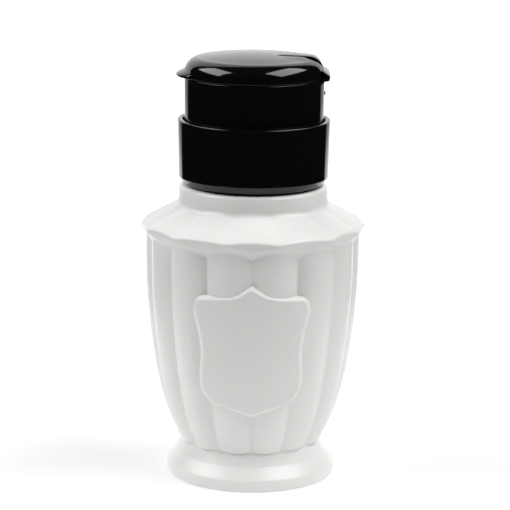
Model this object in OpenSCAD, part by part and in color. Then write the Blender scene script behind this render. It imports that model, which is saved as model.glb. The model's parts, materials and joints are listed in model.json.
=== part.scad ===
// Push-down oil dispenser bottle: a lobed white bottle, a glossy black screw
// collar, a push cup with a dish, and a flip-top lid.
// Millimetres, +Z up, front is -Y. The origin is the centre of the underside.

/* [Bottle] */
// Diameter across the corners of the shoulder rim
shoulder_d = 70; // [66:0.5:76]
// Diameter across the lobes below the shoulder
body_d = 67; // [62:0.5:68]
// Diameter of the narrow waist above the foot
waist_d = 44.4; // [38:0.2:48]
// Diameter of the foot
foot_d = 53; // [50:0.5:56]
// Height of the upright wall of the foot
foot_wall_h = 3.2; // [2:0.1:5]
// Height of the sloping band and hollow curve above the foot wall
foot_cove_h = 7.4; // [6:0.1:9]
// Height of the lobes, from the waist to the underside of the rim
lobe_h = 66.4; // [50:0.5:90]
// Number of lobes round the bottle
lobe_count = 14; // [8:1:20]
// Depth of the creases between the lobes
crease_depth = 1.9; // [1:0.1:2.6]
// Thickness of the rim between lobes and shoulder
rim_h = 3.0; // [2:0.1:5]
// Height of the sloping shoulder
shoulder_h = 6.6; // [4:0.1:10]
// Height by which each shoulder petal is crowned
petal_crown = 0.7; // [0.3:0.1:1.2]
// Thickness of the plastic wall
wall = 1.8; // [1.2:0.1:2.6]
// Thickness of the floor
floor_t = 2.2; // [1.6:0.1:4]
// Depth of the hollow under the foot
base_hollow = 1.2; // [0.4:0.1:2]

/* [Front shield] */
// Width of the raised shield at its top
shield_w = 35; // [24:0.5:38]
// Height of the raised shield
shield_h = 41.5; // [30:0.5:46]
// Height of the shield's lowest point above the surface that the bottle stands on
shield_z = 25.8; // [20:0.2:30]
// How far the shield's face stands proud of the lobes
shield_proud = 0.9; // [0.5:0.1:1]

/* [Neck and thread] */
// Diameter of the ring below the collar
ring_d = 47.5; // [44:0.5:50]
// Height of that ring
ring_h = 5.4; // [3:0.1:8]
// Outer diameter of the neck, without its thread
neck_d = 30; // [28:0.5:31]
// Bore of the neck
neck_bore = 25.4; // [24:0.2:26]
// Height of the neck above the ring
neck_h = 12.4; // [10:0.2:18]
// Rise of the thread in one turn
thread_pitch = 4; // [3.6:0.1:4.4]
// Height of the thread ridge above the neck
thread_depth = 1.1; // [0.8:0.1:1.2]
// Radial clearance between neck parts and collar parts
thread_clear = 0.4; // [0.3:0.05:0.6]

/* [Collar and push cup] */
// Outer diameter of the collar at its top
collar_d = 47.4; // [46.6:0.2:50]
// How much narrower the collar is at its foot
collar_draft = 0.6; // [0:0.1:1.2]
// Wall of the collar
collar_wall = 1.5; // [1.2:0.1:1.8]
// Gap between the ring of the bottle and the collar
collar_gap = 0.9; // [0.5:0.1:2]
// Wall of the collar's threaded skirt
skirt_wall = 1.7; // [1.2:0.1:2]
// How far the collar's wall stands above its web
collar_rise = 4.8; // [3.6:0.1:7]
// Outer diameter of the push cup
cup_d = 43.4; // [42.8:0.1:43.6]
// Wall of the push cup
cup_wall = 1.4; // [1.1:0.1:1.8]
// Travel of the push cup
travel = 8; // [5:0.5:9]
// Wall of the push cup that still shows when it is pressed
cup_left = 5.1; // [4.8:0.1:8]
// Depth of the cup's deck, which carries the dish, below the cup's rim
deck_drop = 4.35; // [4:0.05:5]
// How far the dish lies below the cup's rim
dish_drop = 0.9; // [0.8:0.1:1.4]
// Thickness of the dish
dish_t = 1.2; // [1:0.1:1.6]
// Width of the flat ring round the dish
dish_land = 3.4; // [3:0.1:4]
// Width of the sloping side of the dish
dish_side = 4; // [2:0.1:5]

/* [Lid] */
// Height of the lid from the seam to the middle of its top
lid_h = 7.4; // [7:0.1:10]
// Gap at the seam between cup and lid
seam_gap = 0.3; // [0.2:0.05:0.5]
// Wall of the lid
lid_wall = 1.5; // [1.2:0.1:1.8]
// Radius of the rounded edge of the lid
lid_round = 4.2; // [3:0.1:5]
// Rise of the domed top above its rounded edge
lid_crown = 1.6; // [0.8:0.1:2]
// How far the thumb tab stands out
tab_out = 2.6; // [1.5:0.1:4]
// Thickness of the thumb tab
tab_t = 1.7; // [1.2:0.1:2.4]
// Width of the spring strap between its two slots
strap_w = 7.4; // [5:0.2:10]
// Width of each slot beside the strap
slot_w = 0.6; // [0.4:0.1:1]
// How far the hinge stands out from the lid
hinge_out = 1.6; // [1.2:0.1:2]
// Diameter of the bead that the lid turns on
bead_d = 0.7; // [0.6:0.05:0.9]

/* [Pump] */
// Bore of the pump cylinder
pump_bore = 9.6; // [9:0.1:10.4]
// Wall of the pump cylinder
pump_wall = 1.4; // [1.1:0.1:1.8]
// Outer diameter of the stem
stem_d = 5.6; // [5:0.1:6]
// Bore of the stem
stem_bore = 2.8; // [2.2:0.1:3]
// Diameter of the spring's middle line
spring_d = 7.4; // [7:0.1:7.8]
// Wire of the spring
spring_wire = 0.8; // [0.6:0.05:0.9]
// Number of turns of the spring
spring_turns = 4; // [3:1:4]
// Diameter of the two valve balls
ball_d = 3.6; // [3.2:0.1:3.8]
// Outer diameter of the dip tube
tube_d = 5.2; // [4.4:0.1:5.6]
// Wall of the dip tube
tube_wall = 0.9; // [0.7:0.1:1.1]
// Gap under the end of the dip tube
tube_gap = 1.8; // [1:0.1:4]

/* [Hidden] */

black = "#141416";
white = "#ECEDEC";
milky = "#E4E6E0";
steel = "#B9BCC0";

$fn = 96;
eps = 0.01;
run_clear = 0.05;   // radial clearance of a sliding fit
part_gap = 0.3;     // gap between pieces that move past each other

// Bottle, from the floor up
lobe_step = 360 / lobe_count;
half_lobe = lobe_step / 2;
body_r = body_d / 2;
waist_r = waist_d / 2;
foot_r = foot_d / 2;
foot_edge = 0.8;                          // rounding under the foot
waist_z = foot_wall_h + foot_cove_h;
lobe_z = waist_z + 0.6;                   // the rounded toes of the lobes start here
barrel_z = waist_z + 0.92 * lobe_h;       // above here the lobes run straight up
under_rim_z = waist_z + lobe_h;
soffit_slope = 0.9;                       // fall of the rim's underside for each mm inwards
soffit_in = (shoulder_d - body_d) / 2 - 0.15;
rim_z = under_rim_z + soffit_slope * soffit_in + 0.45;
rim_top_z = under_rim_z + rim_h + 0.5;
ring_r = ring_d / 2;
shoulder_in = ring_r - 1;                 // the shoulder runs on under the ring to this radius
shoulder_z = rim_top_z + shoulder_h;
ring_top = shoulder_z + ring_h;
neck_r = neck_d / 2;
bore_r = neck_bore / 2;
neck_top = ring_top + neck_h;
neck_split = shoulder_z + 0.3 * ring_h;   // the neck piece starts here, inside the ring
floor_z = base_hollow + floor_t;

// Neck and collar, from the ring up
collar_z = ring_top + collar_gap;
gasket_t = 0.8;
flange_t = 1.2;
web_t = 1.6;
web_z = neck_top + gasket_t + flange_t;
web_top = web_z + web_t;
collar_top = web_top + collar_rise;
collar_floor_t = 1.8;
collar_bevel = 2.2;
collar_r = collar_d / 2;
collar_in = collar_r - collar_wall;
thread_r = neck_r + thread_depth;
skirt_in = thread_r + thread_clear;
skirt_out = skirt_in + skirt_wall;
thread_w = 1.5;                           // width of a ridge at its root
thread_start = ring_top + 3.4;
neck_turns = 1.5;
collar_turns = 1.25;

// Push cup, from the collar's floor up
cup_r = cup_d / 2;
cup_in = cup_r - cup_wall;
cup_z = collar_z + collar_floor_t + travel + 2.6;
cup_top = collar_top + travel + cup_left;
deck_t = 1.4;
deck_top = cup_top - deck_drop;
turret_top = web_top + 0.8;               // top of the pump cap
boss_z = turret_top + travel + 0.6;
boss_r = 5.2;
stem_top = deck_top - 1.6;

// Valve balls
ball_r = ball_d / 2;
seat_r = 0.72 * ball_r;
ball_rest = sqrt(ball_r * ball_r - seat_r * seat_r) + run_clear;
ball_lift = 0.6;
chamber_r = ball_r + 0.5;
outlet_seat_r = stem_bore / 2;
outlet_rest = sqrt(ball_r * ball_r - outlet_seat_r * outlet_seat_r) + run_clear;
grate_under = stem_top + outlet_rest + ball_r + ball_lift + run_clear;
grate_t = 0.9;
grate_r = chamber_r + 1.7;

dish_top = cup_top - dish_drop;

// Lid
lid_z = cup_top + seam_gap;
lid_r = cup_r;
lid_in = lid_r - lid_wall;
lid_top = lid_z + lid_h - seam_gap;
dome_z = lid_top - lid_crown;
dome_r = lid_r - lid_round;
dome_ball = (dome_r * dome_r + lid_crown * lid_crown) / (2 * lid_crown);
hinge_x = lid_r + hinge_out;
bead_r = bead_d / 2;
axis_x = hinge_x - bead_r;
hinge_z = cup_top + seam_gap / 2;
hinge_w = 15;                             // length of the hinge along its axis
tab_r = 14;                               // radius of the tab's outline
strap_x = 6.9;                            // the strap is free from here to the hinge
seal_r = 17.8;                            // middle radius of the lid's seal
seal_w = 2;
seal_t = 1;

// Pump, from the collar down
pump_r = pump_bore / 2;
barrel_r = pump_r + pump_wall;
socket_r = 7;
socket_out = 8.6;
socket_h = 5.8;
socket_z = web_z - socket_h;              // floor of the housing's socket
flange_r = neck_r - 0.8;
stem_r = stem_d / 2;
seal_z = socket_z - 1;                    // the stem seal fills from here to the socket
piston_h = 4.1;
piston_top = seal_z - part_gap;
piston_z = piston_top - piston_h;
spring_min = (spring_turns + 0.8) * spring_wire;
spring_h = travel + spring_min + 0.4;
spring_z = piston_z - spring_h;
cage_t = 1;
chamber_top = spring_z - cage_t;
inlet_seat_z = chamber_top - (ball_rest + ball_r + ball_lift + run_clear);
tube_r = tube_d / 2;
spigot_z = inlet_seat_z - 9;
tube_top = inlet_seat_z - 1.2;
tube_end = floor_z + tube_gap;
stem_end = piston_z - 0.5;

// ---------- shapes that several pieces use ----------

// A tube or disc about the Z axis
module ring(r_out, r_in, z0, z1) {
    translate([0, 0, z0])
        difference() {
            cylinder(r = r_out, h = z1 - z0);
            if (r_in > 0)
                translate([0, 0, -eps]) cylinder(r = r_in, h = z1 - z0 + 2 * eps);
        }
}

// A helical ridge about the Z axis, right-handed, its root at r0 and its crest at r1.
// Its ends taper into the wall over a sixth of a turn.
module thread_ridge(r0, r1, z0, turns, width) {
    seg = 30;
    n = ceil(turns * seg);
    crest = 0.5;                          // width of the crest as a share of the root
    function fade(i) = min(1, min(i, n - i) / (seg / 6));
    function at(i, r, dz) = [r * cos(360 * i / seg), r * sin(360 * i / seg),
                             z0 + thread_pitch * i / seg + dz];
    function crest_r(i) = r0 + (r1 - r0) * (0.05 + 0.95 * fade(i));
    points = [for (i = [0:n]) each [
        at(i, r0, -width / 2), at(i, crest_r(i), -crest * width / 2),
        at(i, crest_r(i), crest * width / 2), at(i, r0, width / 2)]];
    sides = [for (i = [0:n - 1]) for (k = [0:3])
        let (a = 4 * i + k, b = 4 * i + (k + 1) % 4)
        each [[a, b, a + 4], [b, b + 4, a + 4]]];
    caps = [[2, 1, 0], [3, 2, 0], [4 * n, 4 * n + 1, 4 * n + 2], [4 * n, 4 * n + 2, 4 * n + 3]];
    faces = concat(sides, caps);
    polyhedron(points, r1 > r0 ? faces : [for (f = faces) [f[2], f[1], f[0]]]);
}

// A rod of radius r and length w along the axis of the hinge
module hinge_rod(r, w) {
    translate([axis_x, w / 2, hinge_z]) rotate([90, 0, 0]) cylinder(r = r, h = w);
}

// ---------- the skin of the bottle ----------

// Radius of the lobes' crests at height z: a barrel that tucks in sharply at the waist
function crest_r(z) =
    let (u = max(0, (barrel_z - z) / (barrel_z - lobe_z)))
    body_r - (body_r - waist_r + 0.2) * (0.74 * u * u + 0.26 * pow(u, 8));
// Radius of the creases: they grow shallower towards the waist
function crease_r(z) =
    let (u = max(0, (barrel_z - z) / (barrel_z - lobe_z)))
    crest_r(z) - crease_depth * (1 - 0.55 * pow(u, 3));

// How far a point lies from the crest (0) towards the crease (1), at angle a from the
// middle of a lobe. A lobe is a round arc that meets the next one in a crease.
arc_far = (body_r - crease_depth) * cos(half_lobe);
arc_side = (body_r - crease_depth) * sin(half_lobe);
arc_r = (pow(body_r - arc_far, 2) + arc_side * arc_side) / (2 * (body_r - arc_far));
function lobe_share(a) =
    let (c = body_r - arc_r)
    (body_r - c * cos(a) - sqrt(arc_r * arc_r - pow(c * sin(a), 2))) / crease_depth;
// A petal of the shoulder is the other way round: its middle is over the crease
function petal_share(a) = 1 - pow(1 - a / half_lobe, 2);

// Each row of the skin: [crest radius, crest height, crease radius, crease height, 1 = petal]
function round_row(r, z) = [r, z, r, z, 0];
function lobe_row(z) = [crest_r(z), z, crease_r(z), z, 0];
function cove_r(t) = waist_r + (foot_r - waist_r) * (1 - sin(t)) / (1 - sin(10));
cove_steps = 5;
lobe_steps = 13;
rim_in = 0.75;                            // the rim is this much smaller over a crease
skin_rows = concat(
    [round_row(foot_r - foot_edge, 0), round_row(foot_r - 0.25, foot_edge * 0.45),
     round_row(foot_r, foot_edge + 0.6), round_row(foot_r, foot_wall_h)],
    [for (i = [1:cove_steps])
        let (t = 10 + 80 * i / cove_steps)
        round_row(cove_r(t), foot_wall_h + (foot_cove_h) * pow((t - 10) / 80, 0.85))],
    [[waist_r + 0.1, lobe_z - 0.25, waist_r - 0.25, lobe_z + 0.2, 0]],
    [for (i = [0.4, each [1:lobe_steps]])
        lobe_row(lobe_z + (barrel_z - lobe_z) * pow(i / lobe_steps, 1.2))],
    [[body_r, under_rim_z, body_r - crease_depth, under_rim_z - soffit_slope * crease_depth, 0],
     [body_r + soffit_in, rim_z - 0.45, body_r + soffit_in - rim_in, rim_z - 0.3, 0.4],
     [shoulder_d / 2, rim_z, shoulder_d / 2 - rim_in, rim_z + 0.4, 1],
     [shoulder_d / 2, rim_top_z - 0.7, shoulder_d / 2 - rim_in, rim_top_z - 0.7 + petal_crown, 1],
     [shoulder_d / 2 - 0.3, rim_top_z, shoulder_d / 2 - rim_in - 0.35, rim_top_z + petal_crown, 1],
     [shoulder_in, shoulder_z, shoulder_in - 0.3, shoulder_z + petal_crown, 1],
     round_row(shoulder_in - 2, shoulder_z + 1.2)]);

lobe_sides = 8;                           // points across one lobe
skin_n = lobe_count * lobe_sides;
function skin_point(row, i) =
    let (a = 360 * i / skin_n,
         off = abs(((a - half_lobe + half_lobe) % lobe_step) - half_lobe),
         s = (1 - row[4]) * lobe_share(off) + row[4] * petal_share(off),
         r = row[0] + (row[2] - row[0]) * s)
    [r * sin(a), -r * cos(a), row[1] + (row[3] - row[1]) * s];

module skin() {
    m = len(skin_rows);
    points = [for (row = skin_rows) for (i = [0:skin_n - 1]) skin_point(row, i)];
    bottom = [for (i = [0:skin_n - 1]) i];
    top = [for (i = [0:skin_n - 1]) (m - 1) * skin_n + skin_n - 1 - i];
    sides = [for (k = [0:m - 2]) for (i = [0:skin_n - 1])
        let (a = k * skin_n + i, b = k * skin_n + (i + 1) % skin_n)
        each [[a, a + skin_n, b], [b, a + skin_n, b + skin_n]]];
    polyhedron(points, concat([bottom, top], sides));
}

// ---------- bottle ----------

// Inside of the bottle: it follows the creases, one wall further in
module cavity() {
    slope = (shoulder_z - rim_top_z) / (shoulder_d / 2 - ring_r);
    top_r = body_r - crease_depth - wall;
    drop = wall * sqrt(1 + slope * slope);
    top_z = rim_top_z + slope * (shoulder_d / 2 - top_r) - drop;
    neck_z = top_z + slope * (top_r - bore_r);
    side = [for (i = [0:12])
        let (z = lobe_z + (barrel_z - lobe_z) * i / 12)
        [crease_r(z) - wall, z]];
    rotate_extrude()
        polygon(concat(
            [[0, floor_z], [foot_r - wall - 1.6, floor_z], [foot_r - wall - 1.2, floor_z + 0.6]],
            side,
            [[top_r, top_z], [bore_r, neck_z], [bore_r, neck_top + 1], [0, neck_top + 1]]));
}

module base_recess() {
    edge = 3.4;                           // width of the ring that the bottle stands on
    rotate_extrude()
        polygon([[0, -1], [foot_r - edge, -1], [foot_r - edge, 0],
                 [foot_r - edge - 1.2, base_hollow], [0, base_hollow]]);
}

// Outline of the shield, right half from its peak down to its point, as shares of its
// half width and its height
function shield_half() = [
    [0, 1], [0.22, 0.955], [0.5, 0.925], [0.74, 0.935], [0.9, 0.915], [0.985, 0.865],
    [1, 0.81], [0.975, 0.74], [0.9, 0.62], [0.865, 0.5], [0.87, 0.4], [0.885, 0.32],
    [0.875, 0.235], [0.8, 0.155], [0.67, 0.1], [0.5, 0.068], [0.27, 0.04], [0, 0]];

module shield() {
    half = shield_half();
    n = len(half);
    face_r = body_r * 1.45;               // the shield is flatter across than the bottle
    outline = concat(
        [for (p = half) [p[0] * shield_w / 2, p[1] * shield_h]],
        [for (i = [n - 2:-1:1]) [-half[i][0] * shield_w / 2, half[i][1] * shield_h]]);
    profile = [for (i = [0:10])
        let (z = shield_z - 1 + (shield_h + 2) * i / 10)
        [face_r - body_r + crest_r(z) + shield_proud, z]];
    intersection() {
        translate([0, 0, shield_z])
            rotate([90, 0, 0])
                linear_extrude(height = body_r + 4)
                    polygon(outline);
        translate([0, face_r - body_r, 0])
            rotate_extrude(angle = 360)
                polygon(concat([[face_r - 9.5, shield_z - 1]], profile,
                               [[face_r - 9.5, shield_z + shield_h + 1]]));
        translate([-shield_w, -body_r - 4, shield_z - 2])
            cube([2 * shield_w, body_r + 4 - 14, shield_h + 4]);
    }
}

// The bottle up to the middle of its ring
module bottle() {
    color(white)
        difference() {
            union() {
                skin();
                shield();
                translate([0, 0, shoulder_z - 2]) cylinder(r = ring_r, h = neck_split - shoulder_z + 2);
            }
            cavity();
            base_recess();
        }
}

// The upper half of the ring and the threaded neck
module neck() {
    color(white)
        difference() {
            union() {
                rotate_extrude()
                    polygon([[0, neck_split], [ring_r, neck_split], [ring_r, ring_top - 0.8],
                             [ring_r - 0.25, ring_top - 0.25], [ring_r - 0.8, ring_top],
                             [neck_r, ring_top], [neck_r, neck_top - 0.4], [neck_r - 0.4, neck_top],
                             [0, neck_top]]);
                thread_ridge(neck_r - 0.3, thread_r, thread_start, neck_turns, thread_w);
            }
            cavity();
        }
}

// ---------- collar ----------

module collar() {
    foot_out = collar_r - collar_draft / 2;
    hole_r = socket_r + 2;
    floor_top = collar_z + collar_floor_t;
    color(black) {
        rotate_extrude()
            polygon([
                [hole_r, web_z], [hole_r, web_top], [skirt_out, web_top], [skirt_out, floor_top],
                [collar_in, floor_top], [collar_in, collar_top - 0.4], [collar_in + 0.3, collar_top],
                [collar_r - 0.5, collar_top], [collar_r - 0.15, collar_top - 0.15],
                [collar_r, collar_top - 0.5], [foot_out, collar_z + collar_bevel],
                [foot_out - 1.4, collar_z], [skirt_in, collar_z], [skirt_in, web_z]]);
        thread_ridge(skirt_in + 0.3, neck_r + thread_clear, thread_start + thread_pitch / 2,
                     collar_turns, thread_w);
    }
}

// ---------- pump ----------

module neck_gasket() {
    color(milky) ring(flange_r, socket_out + 0.2, neck_top, neck_top + gasket_t);
}

module pump_housing() {
    color(milky)
        rotate_extrude()
            polygon([
                [socket_r, web_z], [flange_r, web_z], [flange_r, web_z - flange_t],
                [socket_out, web_z - flange_t], [socket_out, socket_z - 1.2],
                [barrel_r, socket_z - 2.4], [barrel_r, spring_z - 1.5],
                [tube_r + 1, spring_z - 4], [tube_r + 1, spigot_z],
                [tube_r, spigot_z], [tube_r, tube_top], [seat_r, tube_top],
                [seat_r, inlet_seat_z], [chamber_r, inlet_seat_z + (chamber_r - seat_r) * 0.45],
                [chamber_r, chamber_top], [pump_r, chamber_top], [pump_r, socket_z],
                [socket_r, socket_z]]);
}

module pump_cap() {
    color(milky)
        rotate_extrude()
            polygon([
                [stem_r + run_clear, socket_z], [socket_r, socket_z], [socket_r, web_z],
                [socket_r + 1.4, web_z], [socket_r + 1.4, turret_top - 0.5],
                [socket_r + 0.9, turret_top], [stem_r + run_clear, turret_top]]);
}

module stem_seal() {
    color(milky) ring(pump_r, stem_r + run_clear, seal_z, socket_z);
}

module ball_cage() {
    color(milky)
        difference() {
            ring(pump_r, chamber_r - 1.1, chamber_top, spring_z);
            for (a = [0, 90])
                rotate([0, 0, a])
                    translate([-chamber_r, -0.5, chamber_top - eps])
                        cube([2 * chamber_r, 1, cage_t + 2 * eps]);
        }
}

module inlet_ball() {
    color(steel) translate([0, 0, inlet_seat_z + ball_rest]) sphere(r = ball_r, $fn = 48);
}

module dip_tube() {
    color(milky)
        difference() {
            ring(tube_r, tube_r - tube_wall, tube_end, tube_top);
            translate([0, 0, tube_end])
                rotate([0, 32, 0])
                    translate([-2 * tube_r, -tube_r - 1, -2 * tube_r])
                        cube([4 * tube_r, 2 * tube_r + 2, 2 * tube_r]);
        }
}

// A helical spring with closed ends, swept as one polyhedron
module return_spring() {
    sides = 8;
    seg = 18;
    dead = 0.6;                           // turns at each end that lie nearly flat
    total = spring_turns + 2 * dead;
    n = round(total * seg);
    low = spring_z + spring_wire / 2 + run_clear;
    high = piston_z - spring_wire / 2 - run_clear;
    end_rise = dead * spring_wire * 0.6;
    function z_at(t) =
        t < dead ? low + end_rise * t / dead
        : t > total - dead ? high - end_rise * (total - t) / dead
        : low + end_rise + (high - low - 2 * end_rise) * (t - dead) / spring_turns;
    points = [for (i = [0:n]) for (k = [0:sides - 1])
        let (a = 360 * i / seg, b = 360 * k / sides, r = (spring_d + spring_wire * cos(b)) / 2)
        [r * cos(a), r * sin(a), z_at(i / seg) + spring_wire / 2 * sin(b)]];
    skin_faces = [for (i = [0:n - 1]) for (k = [0:sides - 1])
        let (a = i * sides + k, b = i * sides + (k + 1) % sides)
        each [[a, b, a + sides], [b, b + sides, a + sides]]];
    start_cap = [for (k = [sides - 1:-1:0]) k];
    end_cap = [for (k = [0:sides - 1]) n * sides + k];
    color(steel) polyhedron(points, concat(skin_faces, [start_cap, end_cap]));
}

module piston() {
    color(milky)
        rotate_extrude()
            polygon([
                [stem_r, piston_z], [pump_r - 0.9, piston_z], [pump_r - run_clear, piston_z + 0.2],
                [pump_r - run_clear, piston_z + 0.9], [pump_r - 0.7, piston_z + 1.3],
                [pump_r - 0.7, piston_top - 1.3], [pump_r - run_clear, piston_top - 0.9],
                [pump_r - run_clear, piston_top - 0.2], [pump_r - 0.9, piston_top],
                [stem_r, piston_top]]);
}

module valve_plug() {
    bore = stem_bore / 2;
    color(milky)
        difference() {
            union() {
                ring(stem_r, 0, stem_end - 1.2, stem_end);
                ring(bore, 0, stem_end, stem_end + 3);
            }
            translate([-0.5, -stem_r - 1, stem_end - 1.2 - eps])
                cube([1, 2 * stem_r + 2, 1.2]);
            ring(bore / 2, 0, stem_end - 2, stem_end + 4);
        }
}

module stem() {
    color(milky) ring(stem_r, stem_bore / 2, stem_end, stem_top);
}

// ---------- push cup ----------

module cup() {
    leaf = 2.3;                           // height of the hinge's lower leaf
    color(black)
        union() {
            difference() {
                rotate_extrude()
                    polygon([
                        [chamber_r, deck_top], [cup_in, deck_top], [cup_in, cup_top],
                        [cup_r - 0.2, cup_top], [cup_r, cup_top - 0.2], [cup_r, cup_z + 0.3],
                        [cup_r - 0.3, cup_z], [cup_in, cup_z], [cup_in, deck_top - deck_t],
                        [boss_r, deck_top - deck_t], [boss_r, boss_z], [stem_r, boss_z],
                        [stem_r, stem_top], [chamber_r, stem_top]]);
                // groove for the ring that seals the boss to the dish
                ring(boss_r + 1, boss_r, deck_top - 0.4, deck_top + 1);
            }
            // lower leaf of the hinge, with the groove that the lid's bead turns in
            difference() {
                translate([0, hinge_w / 2, 0])
                    rotate([90, 0, 0])
                        linear_extrude(height = hinge_w)
                            polygon([[cup_r - 0.5, cup_top - leaf], [axis_x + 0.1, cup_top - 0.6],
                                     [axis_x + 0.1, cup_top], [cup_r - 0.5, cup_top]]);
                hinge_rod(bead_r + run_clear, hinge_w + 2);
            }
            // small lug below the hinge
            translate([cup_r - 0.4, 0, cup_top - 4.9])
                rotate([0, 90, 0])
                    cylinder(r = 0.6, h = 0.75, $fn = 24);
        }
}

module dish() {
    rim_r = cup_in - run_clear;
    well_r = rim_r - dish_land;
    well_z = deck_top + dish_t;
    well_h = dish_top - well_z;
    color(black)
        rotate_extrude()
            polygon([
                [grate_r + run_clear, deck_top], [rim_r, deck_top], [rim_r, dish_top],
                [well_r, dish_top], [well_r - 0.12 * dish_side, dish_top - 0.13 * well_h],
                [well_r - 0.42 * dish_side, well_z + 0.3 * well_h],
                [well_r - dish_side, well_z + 0.07 * well_h],
                [grate_r + run_clear, well_z]]);
}

module boss_ring() {
    color(milky) ring(boss_r + 0.95, boss_r + 0.05, deck_top - 0.4, deck_top);
}

module outlet_ball() {
    color(steel) translate([0, 0, stem_top + outlet_rest]) sphere(r = ball_r, $fn = 48);
}

module outlet_grate() {
    hole_r = 0.55;
    color(milky)
        difference() {
            rotate_extrude()
                polygon([[0, grate_under], [chamber_r, grate_under], [chamber_r, deck_top],
                         [grate_r, deck_top], [grate_r, grate_under + grate_t - 0.5],
                         [grate_r - 0.5, grate_under + grate_t], [0, grate_under + grate_t]]);
            for (i = [0:4])
                rotate([0, 0, 72 * i])
                    translate([0.55 * chamber_r, 0, grate_under - 1])
                        cylinder(r = hole_r, h = grate_t + 2, $fn = 24);
        }
}

// ---------- lid ----------

// The lid's form, filled: an upright wall, a rounded edge and a low dome. grow < 0 gives
// the inside of a shell.
module lid_form(grow) {
    base = grow < 0 ? lid_z - 1 : lid_z;
    edge = [for (i = [0:6])
        let (t = 90 * i / 6)
        [dome_r + (lid_round + grow) * cos(t),
         dome_z - lid_round + (lid_round + grow) * sin(t)]];
    cap = [for (i = [1:5])
        let (r = dome_r * (1 - i / 5))
        [r, lid_top + grow - (dome_ball - sqrt(dome_ball * dome_ball - r * r))]];
    rotate_extrude()
        polygon(concat([[0, base], [lid_r + grow, base]], edge, cap));
}

module lid() {
    tab_x = -(lid_r + tab_out - tab_r);
    ring_low = dish_top + seal_t + 0.1;
    leaf = 1.8;
    color(black)
        union() {
            difference() {
                union() {
                    lid_form(0);
                    // thumb tab
                    translate([tab_x, 0, lid_z]) cylinder(r = tab_r, h = tab_t);
                }
                lid_form(-lid_wall);
                // slots beside the spring strap
                for (side = [-1, 1])
                    translate([strap_x, side * (strap_w + slot_w) / 2 - slot_w / 2, lid_z + 1.4])
                        cube([lid_r, slot_w, lid_h]);
            }
            // ring that holds the seal
            intersection() {
                ring(seal_r + seal_w / 2, seal_r - seal_w / 2, ring_low, lid_top);
                lid_form(-lid_wall / 2);
                cylinder(r = lid_r + 1, h = lid_top + 1);
            }
            // upper leaf of the hinge, with its bead
            translate([0, hinge_w / 2, 0])
                rotate([90, 0, 0])
                    linear_extrude(height = hinge_w)
                        polygon([[lid_r - 1.2, lid_z], [axis_x, lid_z],
                                 [axis_x, hinge_z + bead_r], [lid_r - 1.2, lid_z + leaf]]);
            hinge_rod(bead_r, hinge_w);
        }
}

module lid_seal() {
    color(milky)
        ring(seal_r + seal_w / 2, seal_r - seal_w / 2, dish_top + 0.1, dish_top + 0.1 + seal_t);
}

bottle();
neck();
collar();
neck_gasket();
pump_housing();
pump_cap();
stem_seal();
ball_cage();
inlet_ball();
dip_tube();
return_spring();
piston();
valve_plug();
stem();
cup();
dish();
boss_ring();
outlet_ball();
outlet_grate();
lid();
lid_seal();
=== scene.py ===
"""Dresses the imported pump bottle: the lobed bottle, its closure and its lid, in a plain studio.

Outlines are written in millimetres as (radius, height) from the floor and scaled once.
"""

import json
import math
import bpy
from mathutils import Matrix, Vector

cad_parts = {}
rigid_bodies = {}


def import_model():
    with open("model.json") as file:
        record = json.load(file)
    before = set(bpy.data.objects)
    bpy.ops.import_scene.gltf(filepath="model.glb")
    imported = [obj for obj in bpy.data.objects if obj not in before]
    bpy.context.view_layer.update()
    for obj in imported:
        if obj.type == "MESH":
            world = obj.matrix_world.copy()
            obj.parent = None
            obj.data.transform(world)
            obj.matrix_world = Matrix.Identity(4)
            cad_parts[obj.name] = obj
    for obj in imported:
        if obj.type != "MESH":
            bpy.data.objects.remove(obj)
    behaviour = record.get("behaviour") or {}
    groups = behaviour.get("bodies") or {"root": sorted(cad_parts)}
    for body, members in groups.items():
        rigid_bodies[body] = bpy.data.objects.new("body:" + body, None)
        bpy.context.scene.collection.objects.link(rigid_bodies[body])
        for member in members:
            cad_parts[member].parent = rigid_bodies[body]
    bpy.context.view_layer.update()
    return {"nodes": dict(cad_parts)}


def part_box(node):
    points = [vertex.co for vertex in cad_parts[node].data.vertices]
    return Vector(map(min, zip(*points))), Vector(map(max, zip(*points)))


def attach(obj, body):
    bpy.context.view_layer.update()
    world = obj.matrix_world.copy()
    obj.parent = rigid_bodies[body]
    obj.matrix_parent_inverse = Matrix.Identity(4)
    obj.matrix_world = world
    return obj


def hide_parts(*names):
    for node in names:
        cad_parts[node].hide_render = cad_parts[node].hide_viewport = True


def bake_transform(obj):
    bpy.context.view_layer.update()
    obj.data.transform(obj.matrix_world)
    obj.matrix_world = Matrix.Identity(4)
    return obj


bl_info = {
    "name": "Lobed Pump Bottle",
    "version": (1, 0, 0),
    "blender": (4, 5, 0),
    "location": "View3D > Sidebar > Pump Bottle",
    "description": "Models the outside of a lobed pump bottle round its packed construction",
    "category": "Object",
}

import bpy
import numpy as np
from bpy.props import FloatProperty, FloatVectorProperty, IntProperty, PointerProperty
from mathutils import Matrix, Vector

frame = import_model()
MM = 0.001
TAU = 2 * math.pi


def high(node, axis):
    """Highest coordinate of a CAD node along an axis, in millimetres."""
    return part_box(node)[1][axis] / MM


def low(node, axis):
    """Lowest coordinate of a CAD node along an axis, in millimetres."""
    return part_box(node)[0][axis] / MM


def linear(code):
    """Linear colour of an sRGB hex value."""
    parts = [int(code[i : i + 2], 16) / 255 for i in (1, 3, 5)]
    return tuple(c / 12.92 if c <= 0.04045 else ((c + 0.055) / 1.055) ** 2.4 for c in parts)


# ---------- settings ----------


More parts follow.
